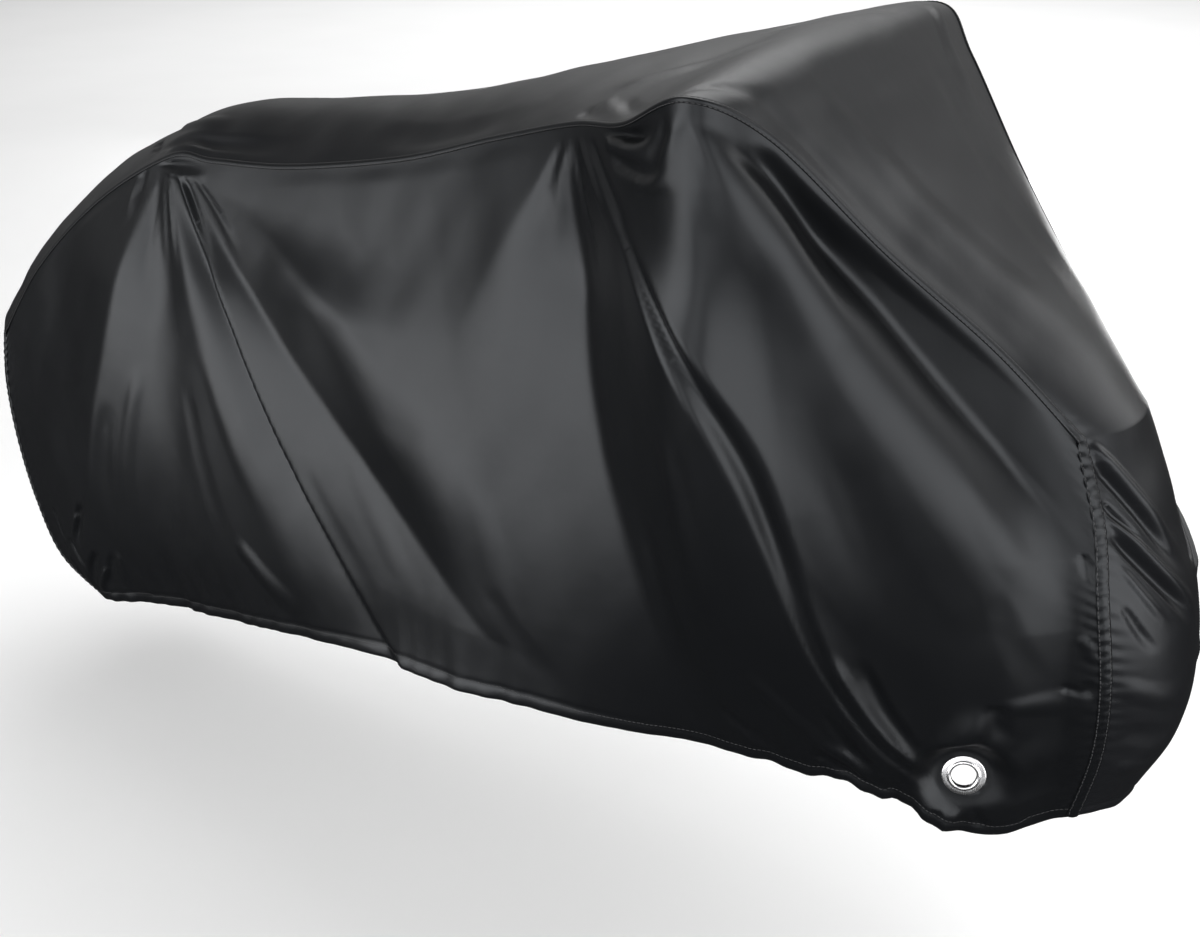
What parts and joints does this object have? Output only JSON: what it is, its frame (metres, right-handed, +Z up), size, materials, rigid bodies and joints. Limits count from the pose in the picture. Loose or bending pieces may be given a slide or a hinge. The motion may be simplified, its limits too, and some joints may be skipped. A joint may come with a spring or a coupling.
{
  "type": "motorcycle cover",
  "caption": "Fitted outdoor cover for a motorcycle, hollow and open below, with a gathered hem and metal lock eyelets near the front wheel.",
  "frame": {"origin": "the middle of the underside of the top, above the saddle, where the covered machine carries the cover", "axes": "+X towards the front wheel, +Y towards the machine's left side, +Z up"},
  "size_m": [2.1278, 0.8082, 1.156],
  "materials": {
    "cloth_center": "dark grey coated polyester, satin, slightly lighter than the sides",
    "cloth_side": "dark grey coated polyester, satin, soft broad sheen",
    "eyelet_metal": "bright nickel plate, lightly brushed"
  },
  "bodies": {
    "root": {"center_panel_rear": "cloth_center", "center_panel_saddle": "cloth_center", "center_panel_tank": "cloth_center", "center_panel_fairing": "cloth_center", "center_panel_front": "cloth_center", "side_panel_right_rear": "cloth_side", "side_panel_right_middle": "cloth_side", "side_panel_right_front": "cloth_side", "eyelet_patch_right": "cloth_side", "eyelet_right": "eyelet_metal", "eyelet_washer_right": "eyelet_metal", "side_panel_left_rear": "cloth_side", "side_panel_left_middle": "cloth_side", "side_panel_left_front": "cloth_side", "eyelet_patch_left": "cloth_side", "eyelet_left": "eyelet_metal", "eyelet_washer_left": "eyelet_metal"}
  },
  "joints": []
}
